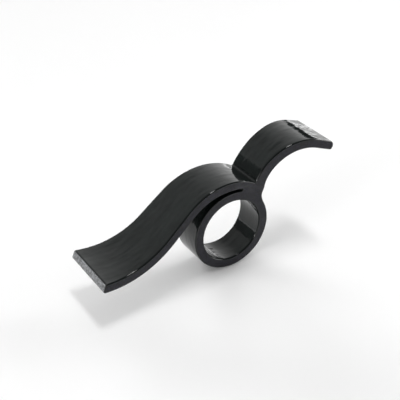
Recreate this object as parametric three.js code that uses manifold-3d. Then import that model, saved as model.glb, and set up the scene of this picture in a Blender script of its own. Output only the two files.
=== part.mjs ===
// Finger-ring castanet: a finger ring that carries a long S-curved blade on one side
// and a short arched blade on the other, tied together by a solid web over the ring.
// Millimetres, +Z up. The side profile lies in X and Z, the width runs along Y,
// and the origin is the middle of the footprint, at the bottom of the ring.
import * as THREE from "three";
import { mergeVertices } from "three/addons/utils/BufferGeometryUtils.js";
import Module from "manifold-3d";

const wasm = await Module();
wasm.setup();

// Driving dimensions.
const BORE_RADIUS = 10; // finger bore
const RING_BAND = 3; // wall of the ring
const BLADE = 2.9; // thickness of the long blade
const RING_WIDTH = 10.6;
const WEB_WIDTH = 12;
const GAP = 0.3; // clearance kept between neighbouring sub-parts

// Profile places are measured from the centre of the ring until the parts are set down.
const LEFT_END = -45.9; // lower edge of the long blade's end
const LEFT_LEAN = degrees(21); // the long blade's end leans back from upright
const RIGHT_END = 34.9; // upper edge of the short blade's end, which is square to the blade
const CREST = { x: -3.5, z: -2.5, radius: 18.9 }; // arc of the long blade over the ring
const CREST_CUT = degrees(65); // where the long blade runs into the web
const INCLINE = degrees(40);
const INCLINE_LENGTH = 9.5;
const TIP_RADIUS = 27.8; // upward sweep of the long blade's free end
const WING_TOP = { x: 23, z: 7.3, radius: 17.3 }; // the short blade thins from root to end
const WING_UNDER = { x: 23.5, z: 7.6, radius: 14 };
const WING_STRAIGHT = degrees(70); // past this angle the short blade runs out straight
const NECK_RADIUS = 10; // fillet from the ring into the underside of the short blade

// Half widths of the plan outline, which is narrowest at the neck beside the notch.
const NECK_HALF_WIDTH = 6.4;
const LEFT_HALF_WIDTH = 10.1;
const RIGHT_HALF_WIDTH = 8.6;
const NECK_FROM = 8;
const NECK_TO = 11;
const FLARE_BOW = 0.45; // how far the long flare curves in from a straight line

const RING_RADIUS = BORE_RADIUS + RING_BAND;
const CREST_TOP = CREST.radius + BLADE / 2;
const CREST_UNDER = CREST.radius - BLADE / 2;
const OVERRUN = 20; // how far a blank runs past the cut that trims it
const RING_SEGMENTS = 48;
const ARC_SEGMENTS = 16;

function degrees(angle) {
  return THREE.MathUtils.degToRad(angle);
}

function onCircle(circle, radius, angle) {
  return {
    x: circle.x + radius * Math.cos(angle),
    z: circle.z + radius * Math.sin(angle),
  };
}

// The upper of the two points that lie at ra from a and at rb from b, with b to the right.
function circlesMeet(a, ra, b, rb) {
  const apart = Math.hypot(b.x - a.x, b.z - a.z);
  const along = (ra * ra - rb * rb + apart * apart) / (2 * apart);
  const aside = Math.sqrt(ra * ra - along * along);
  const ux = (b.x - a.x) / apart;
  const uz = (b.z - a.z) / apart;
  return { x: a.x + along * ux - aside * uz, z: a.z + along * uz + aside * ux };
}

function angleFrom(circle, point) {
  return Math.atan2(point.z - circle.z, point.x - circle.x);
}

// Where the arcs meet: the notch between the blades, and the centre of the neck fillet.
const RING_CENTRE = { x: 0, z: 0 };
const NOTCH = circlesMeet(CREST, CREST_TOP, WING_TOP, WING_TOP.radius);
const NECK = circlesMeet(
  RING_CENTRE,
  RING_RADIUS + NECK_RADIUS,
  WING_UNDER,
  WING_UNDER.radius - NECK_RADIUS,
);

// A closed three.js geometry as a solid, and a solid as a named mesh.
function toSolid(geometry) {
  geometry.deleteAttribute("normal");
  geometry.deleteAttribute("uv");
  const merged = mergeVertices(geometry, 1e-4);
  return new wasm.Manifold(
    new wasm.Mesh({
      numProp: 3,
      vertProperties: merged.attributes.position.array,
      triVerts: new Uint32Array(merged.index.array),
    }),
  );
}

function toMesh(name, solid, material) {
  const made = solid.getMesh();
  const geometry = new THREE.BufferGeometry();
  geometry.setAttribute("position", new THREE.BufferAttribute(made.vertProperties, 3));
  geometry.setIndex(new THREE.BufferAttribute(made.triVerts, 1));
  geometry.computeVertexNormals();
  const mesh = new THREE.Mesh(geometry, material);
  mesh.name = name;
  return mesh;
}

// A side profile, drawn in X and Z, as a solid centred on the mid-plane.
function profileSolid(shape, width, curveSegments) {
  const geometry = new THREE.ExtrudeGeometry(shape, {
    depth: width,
    bevelEnabled: false,
    curveSegments,
  });
  geometry.translate(0, 0, -width / 2);
  geometry.rotateX(Math.PI / 2);
  return toSolid(geometry);
}

// The plan outline, seen from above, as a tall solid that trims the blades to their flare.
function planSolid() {
  const bowX = (NECK_FROM + LEFT_END) / 2;
  const bowY = (NECK_HALF_WIDTH + LEFT_HALF_WIDTH) / 2 - FLARE_BOW;
  const shape = new THREE.Shape();
  shape.moveTo(LEFT_END - OVERRUN, -LEFT_HALF_WIDTH);
  shape.lineTo(LEFT_END, -LEFT_HALF_WIDTH);
  shape.quadraticCurveTo(bowX, -bowY, NECK_FROM, -NECK_HALF_WIDTH);
  shape.lineTo(NECK_TO, -NECK_HALF_WIDTH);
  shape.lineTo(RIGHT_END, -RIGHT_HALF_WIDTH);
  shape.lineTo(RIGHT_END + OVERRUN, -RIGHT_HALF_WIDTH);
  shape.lineTo(RIGHT_END + OVERRUN, RIGHT_HALF_WIDTH);
  shape.lineTo(RIGHT_END, RIGHT_HALF_WIDTH);
  shape.lineTo(NECK_TO, NECK_HALF_WIDTH);
  shape.lineTo(NECK_FROM, NECK_HALF_WIDTH);
  shape.quadraticCurveTo(bowX, bowY, LEFT_END, LEFT_HALF_WIDTH);
  shape.lineTo(LEFT_END - OVERRUN, LEFT_HALF_WIDTH);
  const height = 2 * (WING_TOP.z + WING_TOP.radius + OVERRUN);
  const geometry = new THREE.ExtrudeGeometry(shape, {
    depth: height,
    bevelEnabled: false,
    curveSegments: ARC_SEGMENTS,
  });
  geometry.translate(0, 0, -height / 2);
  return toSolid(geometry);
}

function fingerRing() {
  const shape = new THREE.Shape();
  shape.absarc(0, 0, RING_RADIUS, 0, 2 * Math.PI, false);
  const bore = new THREE.Path();
  bore.absarc(0, 0, BORE_RADIUS, 0, 2 * Math.PI, true);
  shape.holes.push(bore);
  return profileSolid(shape, RING_WIDTH, RING_SEGMENTS);
}

// The long blade: crest over the ring, straight incline, then the sweep up to the free end.
// The end is a flat cut through the lower edge, so its upper corner is where that cut's line,
// at a fixed distance from the centre of the sweep, crosses the upper arc.
function longBlade(plan) {
  const crestStart = CREST_CUT + GAP / CREST.radius;
  const crestEnd = INCLINE + Math.PI / 2;
  const tipStart = INCLINE - Math.PI / 2;
  const tip = onCircle(CREST, CREST.radius + TIP_RADIUS, crestEnd);
  tip.x -= INCLINE_LENGTH * Math.cos(INCLINE);
  tip.z -= INCLINE_LENGTH * Math.sin(INCLINE);
  const tipUpper = TIP_RADIUS - BLADE / 2;
  const tipLower = TIP_RADIUS + BLADE / 2;
  const endLower = Math.asin((LEFT_END - tip.x) / tipLower) - Math.PI / 2;
  const outward = -Math.PI - LEFT_LEAN;
  const endUpper = outward + Math.acos((tipLower * Math.cos(endLower - outward)) / tipUpper);
  const shape = new THREE.Shape();
  shape.absarc(CREST.x, CREST.z, CREST_TOP, crestStart, crestEnd, false);
  shape.absarc(tip.x, tip.z, tipUpper, tipStart, endUpper, true);
  shape.absarc(tip.x, tip.z, tipLower, endLower, tipStart, false);
  shape.absarc(CREST.x, CREST.z, CREST_UNDER, crestEnd, crestStart, true);
  return profileSolid(shape, 2 * LEFT_HALF_WIDTH + OVERRUN, ARC_SEGMENTS).intersect(plan);
}

// The short blade: an arc from the notch over its own crest, then straight to its square end.
// Under its root the neck fillet takes over from the arc of the blade.
function shortBlade(plan) {
  const root = angleFrom(WING_TOP, NOTCH) - GAP / WING_TOP.radius;
  const neckRoot = angleFrom(NECK, NOTCH) - GAP / NECK_RADIUS;
  const neckTop = angleFrom(WING_UNDER, NECK);
  const run = { x: Math.sin(WING_STRAIGHT), z: -Math.cos(WING_STRAIGHT) };
  const bendTop = onCircle(WING_TOP, WING_TOP.radius, WING_STRAIGHT);
  const bendUnder = onCircle(WING_UNDER, WING_UNDER.radius, WING_STRAIGHT);
  const topRun = (RIGHT_END - bendTop.x) / run.x;
  const underRun = topRun + (bendTop.x - bendUnder.x) * run.x + (bendTop.z - bendUnder.z) * run.z;
  const shape = new THREE.Shape();
  shape.absarc(WING_TOP.x, WING_TOP.z, WING_TOP.radius, WING_STRAIGHT, root, false);
  shape.absarc(NECK.x, NECK.z, NECK_RADIUS, neckRoot, neckTop, true);
  shape.absarc(WING_UNDER.x, WING_UNDER.z, WING_UNDER.radius, neckTop, WING_STRAIGHT, true);
  shape.lineTo(bendUnder.x + underRun * run.x, bendUnder.z + underRun * run.z);
  shape.lineTo(RIGHT_END, bendTop.z + topRun * run.z);
  return profileSolid(shape, 2 * RIGHT_HALF_WIDTH + OVERRUN, ARC_SEGMENTS).intersect(plan);
}

// The web that fills the corner between the crest, the ring and the root of the short blade.
// Its seat follows the ring, from the foot of the neck fillet round to the end of the slot.
function bridgeWeb() {
  const seat = RING_RADIUS + GAP;
  const reach = RING_RADIUS + NECK_RADIUS;
  const shortOfRing = Math.acos(
    (reach ** 2 + NECK_RADIUS ** 2 - seat ** 2) / (2 * reach * NECK_RADIUS),
  );
  const foot = angleFrom(NECK, RING_CENTRE) + 2 * Math.PI - shortOfRing;
  const seatStart = angleFrom(RING_CENTRE, onCircle(NECK, NECK_RADIUS, foot));
  const slotEnd = onCircle(CREST, CREST_UNDER, CREST_CUT);
  const shape = new THREE.Shape();
  shape.absarc(CREST.x, CREST.z, CREST_TOP, CREST_CUT, angleFrom(CREST, NOTCH), true);
  shape.absarc(NECK.x, NECK.z, NECK_RADIUS, angleFrom(NECK, NOTCH), foot, false);
  shape.absarc(0, 0, seat, seatStart, angleFrom(RING_CENTRE, slotEnd), false);
  return profileSolid(shape, WEB_WIDTH, ARC_SEGMENTS);
}

const gloss = { roughness: 0.16, metalness: 0 };
const materials = {
  ring: new THREE.MeshStandardMaterial({ color: 0x0b0c0c, ...gloss }),
  blades: new THREE.MeshStandardMaterial({ color: 0x0a0b0b, ...gloss }),
  web: new THREE.MeshStandardMaterial({ color: 0x0c0d0d, ...gloss }),
};

const plan = planSolid();
const group = new THREE.Group();
group.add(
  toMesh("finger_ring", fingerRing(), materials.ring),
  toMesh("long_blade", longBlade(plan), materials.blades),
  toMesh("short_blade", shortBlade(plan), materials.blades),
  toMesh("bridge_web", bridgeWeb(), materials.web),
);
group.position.set(-(LEFT_END + RIGHT_END) / 2, 0, RING_RADIUS);

export default group;
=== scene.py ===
"""Looks of the finger-ring castanet: one glossy black piece, shown as its four sub-parts.

The side profile is worked out in millimetres from the centre of the ring, as complex numbers
x + z * 1j. Each sub-part is a closed loop of that profile, spread over the width with rounded edges.
"""

import math

import bpy
import numpy as np
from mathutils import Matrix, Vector
from mathutils.geometry import delaunay_2d_cdt


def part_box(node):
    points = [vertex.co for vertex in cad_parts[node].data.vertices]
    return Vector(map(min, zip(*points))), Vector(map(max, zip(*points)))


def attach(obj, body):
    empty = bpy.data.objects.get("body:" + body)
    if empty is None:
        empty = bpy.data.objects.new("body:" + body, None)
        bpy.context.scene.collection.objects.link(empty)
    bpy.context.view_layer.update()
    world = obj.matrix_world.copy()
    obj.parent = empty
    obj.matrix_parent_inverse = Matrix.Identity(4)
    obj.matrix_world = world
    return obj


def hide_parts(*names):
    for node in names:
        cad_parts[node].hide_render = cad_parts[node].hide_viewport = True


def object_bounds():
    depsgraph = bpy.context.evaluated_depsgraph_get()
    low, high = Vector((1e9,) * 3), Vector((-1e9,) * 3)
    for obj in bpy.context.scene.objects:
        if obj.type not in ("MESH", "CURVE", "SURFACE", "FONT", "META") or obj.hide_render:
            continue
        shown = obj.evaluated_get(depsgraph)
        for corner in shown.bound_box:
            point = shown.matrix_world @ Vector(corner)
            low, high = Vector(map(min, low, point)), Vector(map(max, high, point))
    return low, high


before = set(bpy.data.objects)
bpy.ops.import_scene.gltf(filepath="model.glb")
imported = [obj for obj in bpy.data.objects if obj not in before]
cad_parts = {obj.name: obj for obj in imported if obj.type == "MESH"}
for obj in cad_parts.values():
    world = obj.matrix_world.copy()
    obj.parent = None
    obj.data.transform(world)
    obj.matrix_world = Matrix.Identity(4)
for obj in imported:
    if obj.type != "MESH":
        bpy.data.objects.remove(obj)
cad_low, cad_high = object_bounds()

MM = 0.001

# Sizes that come from the frame.
ring_low, ring_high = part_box("finger_ring")
RING_CENTRE = (ring_low + ring_high) / 2
RING_RADIUS = (ring_high.z - ring_low.z) / 2 / MM
RING_HALF = ring_high.y / MM
LEFT_END = (cad_low.x - RING_CENTRE.x) / MM
RIGHT_END = (cad_high.x - RING_CENTRE.x) / MM
LEFT_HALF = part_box("long_blade")[1].y / MM
RIGHT_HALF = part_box("short_blade")[1].y / MM

# Driving sizes of the profile, the same as in the CAD model.
BORE_RADIUS = 10
BLADE = 2.9
CREST = complex(-3.5, -2.5)
CREST_RADIUS = 18.9
INCLINE = math.radians(40)
INCLINE_LENGTH = 9.5
SWEEP_RADIUS = 27.8
LEFT_LEAN = math.radians(21)
WING_TOP = complex(23, 7.3)
WING_TOP_RADIUS = 17.3
WING_UNDER = complex(23.5, 7.6)
WING_UNDER_RADIUS = 14
WING_STRAIGHT = math.radians(70)
NECK_RADIUS = 10
NECK_HALF = 6.4
NECK_FROM = 8
NECK_TO = 11
FLARE_BOW = 0.45

# Roundings.
FILLET = 0.6
SLOT_FILLET = 0.35
SLOT_FILLET_REACH = 4  # the fillet is full again this far from the slot's end
SLOT_RADIUS = 0.5
NOTCH_RADIUS = 0.5
LEFT_CORNER = 0.68
RIGHT_UPPER_CORNER = 1.6
RIGHT_LOWER_CORNER = 0.8

# The side faces rise from the ring to the blades over these stretches.
WEB_BLEND = 3.2
CREST_BLEND = math.radians(20)
CREST_MARGIN = 1

# How finely the surface is divided.
ARC_STEP = 0.5
ARC_TURN = math.radians(11)
FILLET_STEPS = 7
WIDTH_STEPS = 18
FACE_GRID = 0.9
SLOPE_STEP = 0.01
SAME_POINT = 1e-6
MERGED_POINT = 1e-7
CUT_CLEARANCE = 1.25 * FILLET
BLADE_CUT_POINTS = 3
WING_CUT_POINTS = 4
RING_CUT_POINTS = 24

# The sawn left end: how squarely the surface faces it, and how deep it reaches.
SAWN_FACING = 0.8
SAWN_FADE = 0.18
SAWN_DEPTH = 3


# Profile.
def turn(angle):
    """The unit step in a direction."""
    return np.exp(1j * np.asarray(angle))


def meeting(a, from_a, b, from_b, side):
    """The point at from_a from a and at from_b from b, on the left (side 1) or right (-1) of a to b."""
    apart = abs(b - a)
    along = (from_a**2 - from_b**2 + apart**2) / (2 * apart)
    across = side * math.sqrt(from_a**2 - along**2)
    return a + complex(along, across) * (b - a) / apart


def arc(centre, radius, start, stop, outward):
    """Points and outward normals along an arc; outward is -1 where the solid is outside it."""
    sweep_angle = abs(stop - start)
    steps = max(math.ceil(sweep_angle * radius / ARC_STEP), math.ceil(sweep_angle / ARC_TURN))
    way = turn(np.linspace(start, stop, steps + 1))
    return centre + radius * way, outward * way


def chain(*arcs):
    """Arcs one after another as a single run, with straight stretches between them divided."""
    points, normals = [arcs[0][0][0]], [arcs[0][1][0]]
    for places, facing in arcs:
        gap = places[0] - points[-1]
        steps = math.ceil(abs(gap) / ARC_STEP)
        for k in range(1, steps):
            points.append(points[-1] + (places[0] - points[-1]) / (steps - k + 1))
            normals.append(facing[0])
        first = 1 if abs(gap) < SAME_POINT else 0
        points.extend(places[first:])
        normals.extend(facing[first:])
    return np.array(points), np.array(normals)


def between(a, b, steps):
    """Points inside the straight cut from a to b, clear of the rounded edges at its ends."""
    clear = CUT_CLEARANCE / abs(b - a)
    return a + (b - a) * np.linspace(clear, 1 - clear, steps)


# The centres that follow from the driving sizes.
top_radius = CREST_RADIUS + BLADE / 2
under_radius = CREST_RADIUS - BLADE / 2
crest_end = INCLINE + math.pi / 2
sweep = CREST + (CREST_RADIUS + SWEEP_RADIUS) * turn(crest_end) - INCLINE_LENGTH * turn(INCLINE)
notch = meeting(CREST, top_radius + NOTCH_RADIUS, WING_TOP, WING_TOP_RADIUS + NOTCH_RADIUS, 1)
neck = meeting(0, RING_RADIUS + NECK_RADIUS, WING_UNDER, WING_UNDER_RADIUS - NECK_RADIUS, 1)
slot = meeting(0, RING_RADIUS + SLOT_RADIUS, CREST, under_radius - SLOT_RADIUS, -1)


def right_end():
    """The two rounded corners of the short blade's square end, lower one first."""
    along, across = turn(WING_STRAIGHT - math.pi / 2), turn(WING_STRAIGHT)
    top = WING_TOP + WING_TOP_RADIUS * across
    under = WING_UNDER + WING_UNDER_RADIUS * across
    top += along * (RIGHT_END - top.real) / along.real
    thick = ((top - under) * np.conj(across)).real
    lower = top - thick * across + RIGHT_LOWER_CORNER * (across - along)
    upper = top - RIGHT_UPPER_CORNER * (across + along)
    down = WING_STRAIGHT - math.pi
    return [
        arc(lower, RIGHT_LOWER_CORNER, down, down + math.pi / 2, 1),
        arc(upper, RIGHT_UPPER_CORNER, down + math.pi / 2, down + math.pi, 1),
    ]


def left_end():
    """The long blade's swept part: upper side, the two corners of the leaning end, lower side."""
    inner, outer = SWEEP_RADIUS - BLADE / 2, SWEEP_RADIUS + BLADE / 2
    start = INCLINE + 1.5 * math.pi
    facing = math.pi - LEFT_LEAN
    low = 1.5 * math.pi - math.asin((sweep.real - LEFT_END) / outer)
    plane = (outer * turn(low) * np.conj(turn(facing))).real - LEFT_CORNER
    upper = facing + math.acos(plane / (inner + LEFT_CORNER))
    lower = facing + math.acos(plane / (outer - LEFT_CORNER))
    upper_corner = sweep + (inner + LEFT_CORNER) * turn(upper)
    lower_corner = sweep + (outer - LEFT_CORNER) * turn(lower)
    return [
        arc(sweep, inner, start, upper, -1),
        arc(upper_corner, LEFT_CORNER, upper - math.pi, facing, 1),
        arc(lower_corner, LEFT_CORNER, facing, lower, 1),
        arc(sweep, outer, lower, start, 1),
    ]


# Directions in which neighbouring arcs touch.
slot_on_crest = np.angle(slot - CREST)
slot_on_ring = np.angle(slot)
neck_on_ring = np.angle(neck)
neck_on_wing = np.angle(neck - WING_UNDER)
notch_on_wing = np.angle(notch - WING_TOP)
notch_on_crest = np.angle(notch - CREST)
neck_to_notch = np.angle(notch - neck)

# The cuts between the sub-parts. The ring's cut lies under the fillets that start on the ring.
wing_root = notch + NOTCH_RADIUS * (WING_TOP - notch) / abs(WING_TOP - notch)
neck_point = neck + NECK_RADIUS * turn(neck_to_notch)
crest_way = turn(slot_on_crest)
blade_cut = between(CREST + top_radius * crest_way, CREST + under_radius * crest_way, BLADE_CUT_POINTS)
wing_cut = between(wing_root, neck_point, WING_CUT_POINTS)
ring_cut_turns = np.linspace(slot_on_ring, neck_on_ring, RING_CUT_POINTS + 2)[1:-1]
ring_cut = (RING_RADIUS - FILLET) * turn(ring_cut_turns)


def long_blade():
    skin = chain(
        arc(CREST, top_radius, slot_on_crest, crest_end, 1),
        *left_end(),
        arc(CREST, under_radius, crest_end, slot_on_crest, -1),
    )
    return [(skin, blade_cut[::-1])]


def bridge_web():
    slot_end = chain(arc(slot, SLOT_RADIUS, slot_on_crest, slot_on_ring - math.pi, -1))
    under_neck = chain(arc(neck, NECK_RADIUS, neck_on_ring + math.pi, neck_to_notch, -1))
    over_notch = chain(
        arc(notch, NOTCH_RADIUS, np.angle(WING_TOP - notch), np.angle(CREST - notch), -1),
        arc(CREST, top_radius, notch_on_crest, slot_on_crest, 1),
    )
    return [(slot_end, ring_cut), (under_neck, wing_cut[::-1]), (over_notch, blade_cut)]


def short_blade():
    skin = chain(
        arc(neck, NECK_RADIUS, neck_to_notch, neck_on_wing, -1),
        arc(WING_UNDER, WING_UNDER_RADIUS, neck_on_wing, WING_STRAIGHT, -1),
        *right_end(),
        arc(WING_TOP, WING_TOP_RADIUS, WING_STRAIGHT, notch_on_wing, 1),
    )
    return [(skin, wing_cut)]


def finger_ring():
    skin = chain(arc(0, RING_RADIUS, slot_on_ring, neck_on_ring + 2 * math.pi, 1))
    return [(skin, ring_cut[::-1])]


def finger_bore():
    points, normals = arc(0, BORE_RADIUS, 0, -2 * math.pi, -1)
    return points[:-1], normals[:-1]


# Width.
def smooth(t):
    t = np.clip(t, 0, 1)
    return t * t * (3 - 2 * t)


def half_width(points, on_ring):
    """Distance from the mid-plane to the side face over points of the profile."""
    if on_ring:
        return np.full(len(points), RING_HALF)
    x = points.real
    t = np.clip((NECK_FROM - x) / (NECK_FROM - LEFT_END), 0, 1)
    middle = (NECK_HALF + LEFT_HALF) / 2 - FLARE_BOW
    left = (1 - t) ** 2 * NECK_HALF + 2 * t * (1 - t) * middle + t**2 * LEFT_HALF
    past_neck = np.clip((x - NECK_TO) / (RIGHT_END - NECK_TO), 0, None)
    right = NECK_HALF + (RIGHT_HALF - NECK_HALF) * past_neck
    off_ring = smooth((abs(points) - RING_RADIUS) / WEB_BLEND)
    past_slot = smooth(np.angle((points - CREST) * turn(-slot_on_crest)) / CREST_BLEND)
    past_slot = np.where(abs(points - CREST) > under_radius - CREST_MARGIN, past_slot, 0)
    rise = 1 - (1 - off_ring) * (1 - past_slot)
    return RING_HALF + (np.where(x < NECK_FROM, left, right) - RING_HALF) * rise


def face_normals(points, side, on_ring):
    """Outward normals of the front (side -1) or back (side 1) face."""

    def slope(step):
        rise = half_width(points + step, on_ring) - half_width(points - step, on_ring)
        return rise / (2 * SLOPE_STEP)

    out = np.column_stack([-slope(SLOPE_STEP), np.full(len(points), side), -slope(SLOPE_STEP * 1j)])
    return out / np.linalg.norm(out, axis=1)[:, None]


# Mesh.
def row(places, across, facing, side):
    """A row of vertices: their places, their normals and how far they belong to a side face."""
    return np.column_stack([places.real, across, places.imag]), facing, np.full(len(places), side)


def rows_across(points, normals, fillets, on_ring):
    """The rows from the front face to the back face, with a rounded edge at each."""
    radial = np.column_stack([normals.real, np.zeros(len(normals)), normals.imag])

    def rounded(side, lean):
        places = points - normals * fillets * (1 - math.cos(lean))
        across = side * (half_width(places, on_ring) - fillets * (1 - math.sin(lean)))
        facing = math.cos(lean) * radial + math.sin(lean) * face_normals(places, side, on_ring)
        return row(places, across, facing, math.sin(lean))

    leans = np.linspace(math.pi / 2, 0, FILLET_STEPS + 1)
    edge = half_width(points, on_ring) - fillets
    shares = np.linspace(-1, 1, WIDTH_STEPS + 1)[1:-1]
    front = [rounded(-1, lean) for lean in leans]
    middle = [row(points, share * edge, radial, 0) for share in shares]
    back = [rounded(1, lean) for lean in leans[::-1]]
    return front + middle + back


def ring_edges(lengths):
    """Pairs of neighbouring vertices round each closed loop."""
    first = 0
    for length in lengths:
        for k in range(length):
            yield first + k, first + (k + 1) % length
        first += length


def inside(points, loop):
    """Which points lie inside a closed loop."""
    x, z = points.real[:, None], points.imag[:, None]
    ax, az = loop.real[None], loop.imag[None]
    bx, bz = np.roll(ax, -1, 1), np.roll(az, -1, 1)
    spans = (az > z) != (bz > z)
    with np.errstate(divide="ignore", invalid="ignore"):
        hits = spans & (x < ax + (z - az) * (bx - ax) / (bz - az))
    return hits.sum(1) % 2 == 1


def flat_cap(loops):
    """Points added inside the loops, and the triangles that fill them; a second loop is a hole."""

    def filled(points):
        return sum(inside(points, loop).astype(int) for loop in loops) == 1

    edge = np.concatenate(loops)
    x = np.arange(edge.real.min(), edge.real.max(), FACE_GRID)
    z = np.arange(edge.imag.min(), edge.imag.max(), FACE_GRID)
    grid = (x[:, None] + 1j * z[None]).ravel()
    clear = np.abs(grid[:, None] - edge[None]).min(1) > FACE_GRID / 2
    grid = grid[filled(grid) & clear]
    points = [Vector((p.real, p.imag)) for p in np.concatenate([edge, grid])]
    edges = list(ring_edges([len(loop) for loop in loops]))
    made, _, triangles, sources, _, _ = delaunay_2d_cdt(points, edges, [], 0, MERGED_POINT)
    source = [min(group) if group else -1 for group in sources]
    if sorted(source) != list(range(len(points))):
        raise ValueError("the cap's outline crosses itself")
    corners = np.array(triangles)
    middles = np.array([complex(*place) for place in made])[corners].mean(1)
    return grid, np.array(source)[corners[filled(middles)]]


def make_piece(node, rows, faces, on_cut):
    """The piece's object, with shading normals and the two values that its material reads."""
    places, facing, side = (np.concatenate(column) for column in zip(*rows))
    mesh = bpy.data.meshes.new(node + "_visual")
    origin = np.array([RING_CENTRE.x, 0, RING_CENTRE.z])
    mesh.from_pydata((places * MM + origin).tolist(), [], faces)
    mesh.polygons.foreach_set("use_smooth", [True] * len(mesh.polygons))
    corner_normals = np.zeros((len(mesh.loops), 3))
    for polygon, cut in zip(mesh.polygons, on_cut):
        for corner in polygon.loop_indices:
            vertex = mesh.loops[corner].vertex_index
            corner_normals[corner] = polygon.normal if cut else facing[vertex]
    mesh.normals_split_custom_set(corner_normals.tolist())

    sawn_way = turn(math.pi - LEFT_LEAN)
    toward = facing[:, 0] * sawn_way.real + facing[:, 2] * sawn_way.imag
    end = smooth((toward - SAWN_FACING) / SAWN_FADE) * (places[:, 0] < LEFT_END + SAWN_DEPTH)
    for name, values in (("side", side), ("end", end)):
        layer = mesh.attributes.new(name, "FLOAT", "POINT")
        layer.data.foreach_set("value", values.astype(np.float32))
    piece = bpy.data.objects.new(node + "_visual", mesh)
    bpy.context.collection.objects.link(piece)
    return piece


def build(node, runs, hole=None):
    """One sub-part. runs are stretches of skin, each with the points of the cut that follows it."""
    on_ring = node == "finger_ring"
    outline = []
    for (points, normals), cut in runs:
        outline += [(p, n, True) for p, n in zip(points, normals)] + [(p, 0, False) for p in cut]
    loops = [outline]
    if hole:
        loops.append([(p, n, True) for p, n in zip(*hole)])
    lengths = [len(loop) for loop in loops]
    points, normals, skin = (np.array(column) for column in zip(*sum(loops, [])))

    near_slot = smooth((abs(points - slot) - SLOT_RADIUS) / SLOT_FILLET_REACH)
    fillets = np.where(skin, SLOT_FILLET + (FILLET - SLOT_FILLET) * near_slot, FILLET)
    rows = rows_across(points, normals, fillets, on_ring)
    count, last = len(points), len(rows) - 1

    faces, on_cut = [], []
    for a, b in ring_edges(lengths):
        for level in range(last):
            low, high = level * count, (level + 1) * count
            faces.append((low + a, high + a, high + b, low + b))
            on_cut.append(not (skin[a] and skin[b]))

    face_edge = points - normals * fillets
    grid, triangles = flat_cap(np.split(face_edge, np.cumsum(lengths)[:-1]))
    used = len(rows) * count
    for side, level in ((-1, 0), (1, last)):
        index = np.concatenate([level * count + np.arange(count), used + np.arange(len(grid))])
        normals_here = face_normals(grid, side, on_ring)
        rows.append(row(grid, side * half_width(grid, on_ring), normals_here, 1))
        used += len(grid)
        around = index[triangles] if side < 0 else index[triangles[:, ::-1]]
        faces += around.tolist()
        on_cut += [False] * len(around)
    return make_piece(node, rows, faces, on_cut)


pieces = {
    "long_blade": build("long_blade", long_blade()),
    "bridge_web": build("bridge_web", bridge_web()),
    "short_blade": build("short_blade", short_blade()),
    "finger_ring": build("finger_ring", finger_ring(), finger_bore()),
}


# Materials.
class Nodes:
    """A small helper for wiring up one node tree."""

    def __init__(self, tree):
        self.tree = tree

    def add(self, kind, inputs=(), **settings):
        node = self.tree.nodes.new(kind)
        for name, value in settings.items():
            setattr(node, name, value)
        for name, value in dict(inputs).items():
            if isinstance(value, bpy.types.NodeSocket):
                self.tree.links.new(value, node.inputs[name])
            else:
                node.inputs[name].default_value = value
        return node

    def math(self, operation, a, b=0.0):
        return self.add("ShaderNodeMath", {0: a, 1: b}, operation=operation).outputs[0]

    def total(self, *values):
        result = values[0]
        for value in values[1:]:
            result = self.math("ADD", result, value)
        return result

    def product(self, *values):
        result = values[0]
        for value in values[1:]:
            result = self.math("MULTIPLY", result, value)
        return result

    def mix(self, factor, a, b):
        return self.add("ShaderNodeMix", {"Factor": factor, "A": a, "B": b}).outputs["Result"]

    def blend(self, factor, a, b):
        """A mix of two colours; inputs 6 and 7 and output 2 are the node's colour sockets."""
        a, b = ((*c, 1) if isinstance(c, tuple) else c for c in (a, b))
        return self.add("ShaderNodeMix", {0: factor, 6: a, 7: b}, data_type="RGBA").outputs[2]

    def noise(self, place, stretch=(1, 1, 1), scale=1.0, detail=3.0, roughness=0.5):
        at = self.add("ShaderNodeVectorMath", {0: place, 1: stretch}, operation="MULTIPLY").outputs[0]
        wanted = {"Vector": at, "Scale": scale, "Detail": detail, "Roughness": roughness}
        return self.add("ShaderNodeTexNoise", wanted).outputs["Fac"]

    def spread(self, value, low, high, to_low=0.0, to_high=1.0):
        wanted = {"Value": value, "From Min": low, "From Max": high, "To Min": to_low, "To Max": to_high}
        return self.add("ShaderNodeMapRange", wanted).outputs["Result"]


# Pairs of colours that the noise moves between.
POLISHED_BLACK = ((0.0026, 0.0042, 0.0038), (0.0060, 0.0090, 0.0082))
SATIN_BLACK = ((0.0002, 0.0002, 0.0008), (0.0095, 0.0095, 0.021))
SAWN_GREY = ((0.06, 0.063, 0.066), (0.26, 0.265, 0.275))
FLOOR_WHITE = ((0.95, 0.95, 0.95), (0.965, 0.965, 0.963))

POLISHED_ROUGHNESS = (0.035, 0.075)
SATIN_ROUGHNESS = (0.46, 0.62)
SAWN_ROUGHNESS = 0.5
GLOSS_IOR = 1.43

# Height of the relief in metres, and each pattern's share of it.
RELIEF = 1.0e-4
STREAK_SHARE = 0.2
RIPPLE_SHARE = 0.55
WAVE_SHARE = 2.0
MOTTLE_SHARE = 0.35
GRAIN_SHARE = 0.5
PIT_SHARE = 3.0


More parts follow.
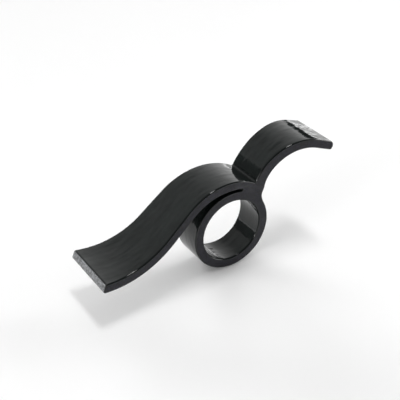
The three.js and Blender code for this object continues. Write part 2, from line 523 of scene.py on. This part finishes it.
def gloss_black():
    material = bpy.data.materials.new("gloss_black")
    material.use_nodes = True
    tree = material.node_tree
    tree.nodes.clear()
    n = Nodes(tree)
    place = n.add("ShaderNodeTexCoord").outputs["Object"]
    side = n.add("ShaderNodeAttribute", attribute_name="side").outputs["Fac"]
    end = n.add("ShaderNodeAttribute", attribute_name="end").outputs["Fac"]
    side = n.spread(side, 0.8, 0.99)

    # Streaks and ripples are drawn out along the profile, so they are finest across the width.
    streaks = n.noise(place, stretch=(25, 900, 25), roughness=0.55)
    ripples = n.noise(place, stretch=(200, 640, 200), detail=2.0)
    waves = n.noise(place, stretch=(90, 160, 90), detail=2.0)
    smears = n.noise(place, stretch=(1, 1.6, 1), scale=130.0, detail=4.0, roughness=0.6)
    mottle = n.noise(place, scale=420.0, detail=4.0, roughness=0.6)
    grain = n.noise(place, scale=1700.0, roughness=0.7)
    pits = n.noise(place, scale=1500.0, detail=2.0, roughness=0.6)

    patches = n.spread(n.total(smears, n.product(mottle, 0.8)), 0.7, 1.1)
    polished = n.blend(patches, *POLISHED_BLACK)
    satin = n.blend(n.spread(grain, 0.42, 0.60), *SATIN_BLACK)
    sawn = n.blend(n.spread(grain, 0.38, 0.62), *SAWN_GREY)
    color = n.blend(end, n.blend(side, polished, satin), sawn)

    polished_rough = n.spread(smears, 0.3, 0.7, *POLISHED_ROUGHNESS)
    satin_rough = n.spread(mottle, 0.3, 0.7, *SATIN_ROUGHNESS)
    rough = n.mix(end, n.mix(side, polished_rough, satin_rough), SAWN_ROUGHNESS)

    curved = n.math("SUBTRACT", 1.0, n.math("MAXIMUM", side, end))
    unevenness = n.total(
        n.product(streaks, STREAK_SHARE),
        n.product(ripples, RIPPLE_SHARE),
        n.product(waves, WAVE_SHARE),
        n.product(mottle, MOTTLE_SHARE),
    )
    height = n.total(
        n.product(unevenness, curved), n.product(grain, side, GRAIN_SHARE), n.product(pits, end, PIT_SHARE)
    )
    bump = n.add("ShaderNodeBump", {"Strength": 1.0, "Distance": RELIEF, "Height": height})
    wanted = {"Base Color": color, "Roughness": rough, "Normal": bump.outputs["Normal"], "IOR": GLOSS_IOR}
    shader = n.add("ShaderNodeBsdfPrincipled", wanted)
    n.add("ShaderNodeOutputMaterial", {"Surface": shader.outputs["BSDF"]})
    return material


def stage_material(name, roughness):
    """A matt material for the stage, with its node tree and shader."""
    material = bpy.data.materials.new(name)
    material.use_nodes = True
    shader = material.node_tree.nodes["Principled BSDF"]
    shader.inputs["Roughness"].default_value = roughness
    return material, shader


def pale_floor():
    material, shader = stage_material("pale_floor", 0.9)
    n = Nodes(material.node_tree)
    place = n.add("ShaderNodeTexCoord").outputs["Object"]
    tint = n.blend(n.noise(place, scale=14.0), *FLOOR_WHITE)
    material.node_tree.links.new(tint, shader.inputs["Base Color"])
    shader.inputs["Specular IOR Level"].default_value = 0.0
    return material


finish = gloss_black()
for node, piece in pieces.items():
    piece.data.materials.append(finish)
    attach(piece, "root")
    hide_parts(node)


# Stage: a pale floor and two dark cards, out of view, that the gloss mirrors.
FLOOR_SIZE = 6.0
CARDS_SEEN_FROM = Vector((cad_high.x - 0.01, 0, 0))


def panel(name, centre, size, face, material):
    """A flat rectangle, size wide and high, facing along face."""
    mesh = bpy.data.meshes.new(name)
    w, h = size[0] / 2, size[1] / 2
    mesh.from_pydata([(-w, -h, 0), (w, -h, 0), (w, h, 0), (-w, h, 0)], [], [(0, 1, 2, 3)])
    mesh.materials.append(material)
    plate = bpy.data.objects.new(name, mesh)
    plate.location = centre
    plate.rotation_mode = "QUATERNION"
    plate.rotation_quaternion = Vector(face).to_track_quat("Z", "Y")
    bpy.context.collection.objects.link(plate)


def dark_card(name, turned, away, low, high, wide, shade):
    """An upright card near the short blade's line of sight, its left edge turned from +Y."""
    material, shader = stage_material(name, 0.8)
    shader.inputs["Base Color"].default_value = (shade, shade, shade, 1)
    angle = math.radians(turned)
    way = Vector((math.sin(angle), math.cos(angle), 0))
    across = Vector((way.y, -way.x, 0))
    centre = CARDS_SEEN_FROM + way * away + across * wide / 2 + Vector((0, 0, (low + high) / 2))
    panel(name, centre, (wide, high - low), -way, material)


panel("floor", (0, 0, 0), (FLOOR_SIZE, FLOOR_SIZE), (0, 0, 1), pale_floor())
dark_card("card_right", turned=44.6, away=0.42, low=0.050, high=0.160, wide=0.13, shade=0.03)
dark_card("card_left", turned=-52, away=0.60, low=0.03, high=0.31, wide=0.16, shade=0.16)


# Soft light all round: a dome that fades upwards, dark on the near side, with bright sides and back.
DOME_STRENGTH = 1.45
DOME_NEAR = 0.10
DOME_FAR = [  # (sine of the height above the horizon, light)
    (0.0, 2.6),
    (0.05, 1.0),
    (0.31, 0.95),
    (0.42, 0.75),
    (0.54, 0.62),
    (0.68, 0.55),
    (0.76, 0.35),
    (0.84, 0.12),
    (1.0, 0.10),
]
DOME_LEFT = 0.5
SIDE_GLOW = 1.9
BACK_GLOW = 8.5


def dome():
    world = bpy.data.worlds.new("studio")
    bpy.context.scene.world = world
    world.use_nodes = True
    n = Nodes(world.node_tree)
    way = n.add("ShaderNodeTexCoord").outputs["Generated"]
    parts = n.add("ShaderNodeSeparateXYZ", {0: way}).outputs
    ramp = n.add("ShaderNodeValToRGB", {"Fac": parts["Z"]})
    elements = ramp.color_ramp.elements
    while len(elements) < len(DOME_FAR):
        elements.new(0.5)
    for element, (height, light) in zip(elements, DOME_FAR):
        element.position = height
        element.color = (light, light, light, 1)

    rightward = n.spread(parts["X"], -0.6, 0.5, DOME_LEFT, 1.0)
    backward = n.spread(parts["Y"], 0.25, 0.6)
    low = n.spread(parts["Z"], 0.62, 0.42)
    sideways = n.spread(n.math("ABSOLUTE", parts["X"]), 0.76, 0.9)
    straight_back = n.spread(parts["Y"], 0.86, 0.94)
    light = n.total(
        n.mix(backward, DOME_NEAR, n.product(ramp.outputs["Color"], rightward)),
        n.product(sideways, rightward, low, SIDE_GLOW),
        n.product(straight_back, BACK_GLOW),
    )
    background = world.node_tree.nodes["Background"]
    background.inputs["Color"].default_value = (1, 1, 1, 1)
    world.node_tree.links.new(n.product(light, DOME_STRENGTH), background.inputs["Strength"])


dome()

# Lamps and camera.
TARGET = Vector((-0.0026, 0, 0.0237))
CAMERA_PLACE = (-0.12165, -0.18501, 0.16201)
CAMERA_WAY = (0.4581, 0.7120, -0.5322)
CAMERA_LENS = 79.9
CAMERA_SENSOR = 36
CAMERA_CLIP = 0.01
EXPOSURE = 0.13


def soft_lamp(name, way, away, size, watts):
    """A soft lamp in the direction way from the object."""
    light = bpy.data.lights.new(name, "AREA")
    light.shape = "RECTANGLE"
    light.size, light.size_y = size
    light.energy = watts
    lamp = bpy.data.objects.new(name, light)
    way = Vector(way).normalized()
    lamp.location = TARGET + way * away
    lamp.rotation_mode = "QUATERNION"
    lamp.rotation_quaternion = way.to_track_quat("Z", "Y")
    bpy.context.collection.objects.link(lamp)


soft_lamp("overhead", way=(0.12, 0.0, 1.0), away=1.0, size=(0.30, 0.16), watts=2.5)
soft_lamp("left", way=(-0.94, -0.22, 0.27), away=0.9, size=(0.20, 0.12), watts=1.5)
soft_lamp("right", way=(0.90, 0.10, 0.41), away=0.9, size=(0.20, 0.12), watts=1.1)

camera = bpy.data.cameras.new("camera")
camera.lens = CAMERA_LENS
camera.sensor_width = CAMERA_SENSOR
camera.clip_start = CAMERA_CLIP
camera_object = bpy.data.objects.new("camera", camera)
camera_object.location = CAMERA_PLACE
camera_object.rotation_mode = "QUATERNION"
camera_object.rotation_quaternion = (-Vector(CAMERA_WAY)).to_track_quat("Z", "Y")
bpy.context.collection.objects.link(camera_object)

scene = bpy.context.scene
scene.camera = camera_object
scene.view_settings.view_transform = "Standard"
scene.view_settings.exposure = EXPOSURE
